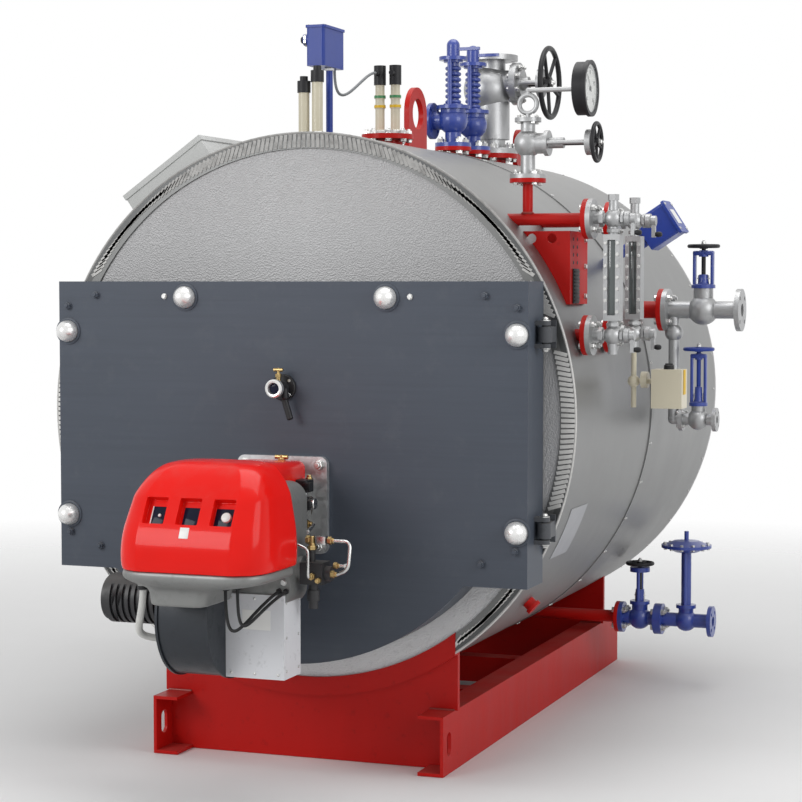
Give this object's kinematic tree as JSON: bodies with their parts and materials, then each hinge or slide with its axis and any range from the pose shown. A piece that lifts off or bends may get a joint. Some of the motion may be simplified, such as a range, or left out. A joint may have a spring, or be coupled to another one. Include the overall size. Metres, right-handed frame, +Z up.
{
  "type": "industrial boiler",
  "caption": "Horizontal fire-tube steam boiler with hinged burner door, burner, insulated shell, valves, level gauges and a steel skid.",
  "frame": {"origin": "on the floor under the middle of the front saddle plate", "axes": "+X to the right seen from the burner end, +Y towards the rear, +Z up"},
  "size_m": [2.224, 3.279, 2.608],
  "materials": {
    "red_paint": "gloss",
    "burner_red": "gloss",
    "door_paint": "satin",
    "cladding_sheet": "brushed",
    "stucco_sheet": "stucco embossed",
    "dark_steel": "matt",
    "boiler_steel": "scaled",
    "refractory": "rough",
    "seal_rope": "woven",
    "cap_silver": "satin",
    "valve_silver": "aluminium paint",
    "valve_blue": "gloss",
    "black_plastic": "matt",
    "light_grey": "satin",
    "dark_grey": "satin",
    "cream": "satin",
    "cable_black": "matt",
    "cable_grey": "matt"
  },
  "bodies": {
    "boiler": {"base_frame": "red_paint", "saddles": "red_paint", "shell": "boiler_steel", "front_tube_plate": "boiler_steel", "rear_tube_plate": "boiler_steel", "furnace_tube": "boiler_steel", "furnace_end": "boiler_steel", "smoke_tubes": "boiler_steel", "rear_end_plate": "boiler_steel", "front_jacket": "cladding_sheet", "rear_jacket": "cladding_sheet", "cladding_bands": "cladding_sheet", "front_cladding": "stucco_sheet", "rear_cladding": "stucco_sheet", "door_seat": "dark_steel", "flue_collar": "dark_steel", "hinge_brackets": "dark_steel", "terminal_box": "light_grey", "electrodes": "cream", "electrode_heads": "black_plastic", "electrode_box": "valve_blue", "electrode_cables": "cable_grey", "lifting_lugs": "red_paint", "crown_nozzles": "red_paint", "safety_valves": "valve_blue", "steam_valve": "valve_silver", "gauge_bracket": "red_paint", "gauge_nozzles": "red_paint", "level_gauges": "valve_silver", "gauge_valve": "valve_silver", "pressure_gauge": "black_plastic", "level_limiter": "valve_blue", "feed_nozzle": "red_paint", "feed_valves": "valve_silver", "feed_yokes": "valve_blue", "drain_actuator": "cream", "drain_pipe": "red_paint", "drain_valve": "valve_blue", "quick_drain_valve": "valve_blue"},
    "burner_door": {"door_panel": "door_paint", "door_lining": "refractory", "door_seal": "seal_rope", "door_caps": "cap_silver", "door_hinges": "dark_steel", "sight_tube": "black_plastic", "burner_mount": "light_grey", "blast_tube": "boiler_steel", "burner_housing": "light_grey", "burner_hood": "burner_red", "burner_tray": "light_grey", "fan_scroll": "dark_grey", "fan_motor": "black_plastic", "air_box": "light_grey", "burner_pump": "black_plastic", "burner_cables": "cable_black"},
    "steam_handwheel": {"steam_wheel": "black_plastic"},
    "feed_handwheel": {"feed_wheel": "black_plastic"},
    "bypass_handwheel": {"bypass_wheel": "valve_blue"},
    "drain_handwheel": {"drain_wheel": "black_plastic"},
    "gauge_handwheel": {"gauge_wheel": "black_plastic"}
  },
  "joints": [
    {"name": "door_hinge", "type": "hinge", "parent": "boiler", "child": "burner_door", "pos_m": [0.87, -0.12, 1.145], "axis": [0, 0, 1], "range_deg": [0, 100]},
    {"name": "steam_spindle", "type": "hinge", "parent": "boiler", "child": "steam_handwheel", "pos_m": [0.28, 1.87, 2.455], "axis": [1, 0, 0], "range_deg": [0, 1080]},
    {"name": "feed_spindle", "type": "hinge", "parent": "boiler", "child": "feed_handwheel", "pos_m": [1.125, 1.082, 1.75], "axis": [0, 0, 1], "range_deg": [0, 1080]},
    {"name": "bypass_spindle", "type": "hinge", "parent": "boiler", "child": "bypass_handwheel", "pos_m": [1.11, 1.082, 1.37], "axis": [0, 0, 1], "range_deg": [0, 1080]},
    {"name": "drain_spindle", "type": "hinge", "parent": "boiler", "child": "drain_handwheel", "pos_m": [0.75, 1.67, 0.481], "axis": [0, 0, 1], "range_deg": [0, 1080]},
    {"name": "gauge_spindle", "type": "hinge", "parent": "boiler", "child": "gauge_handwheel", "pos_m": [0.963, 0.12, 2.085], "axis": [1, 0, 0], "range_deg": [0, 1080]}
  ]
}
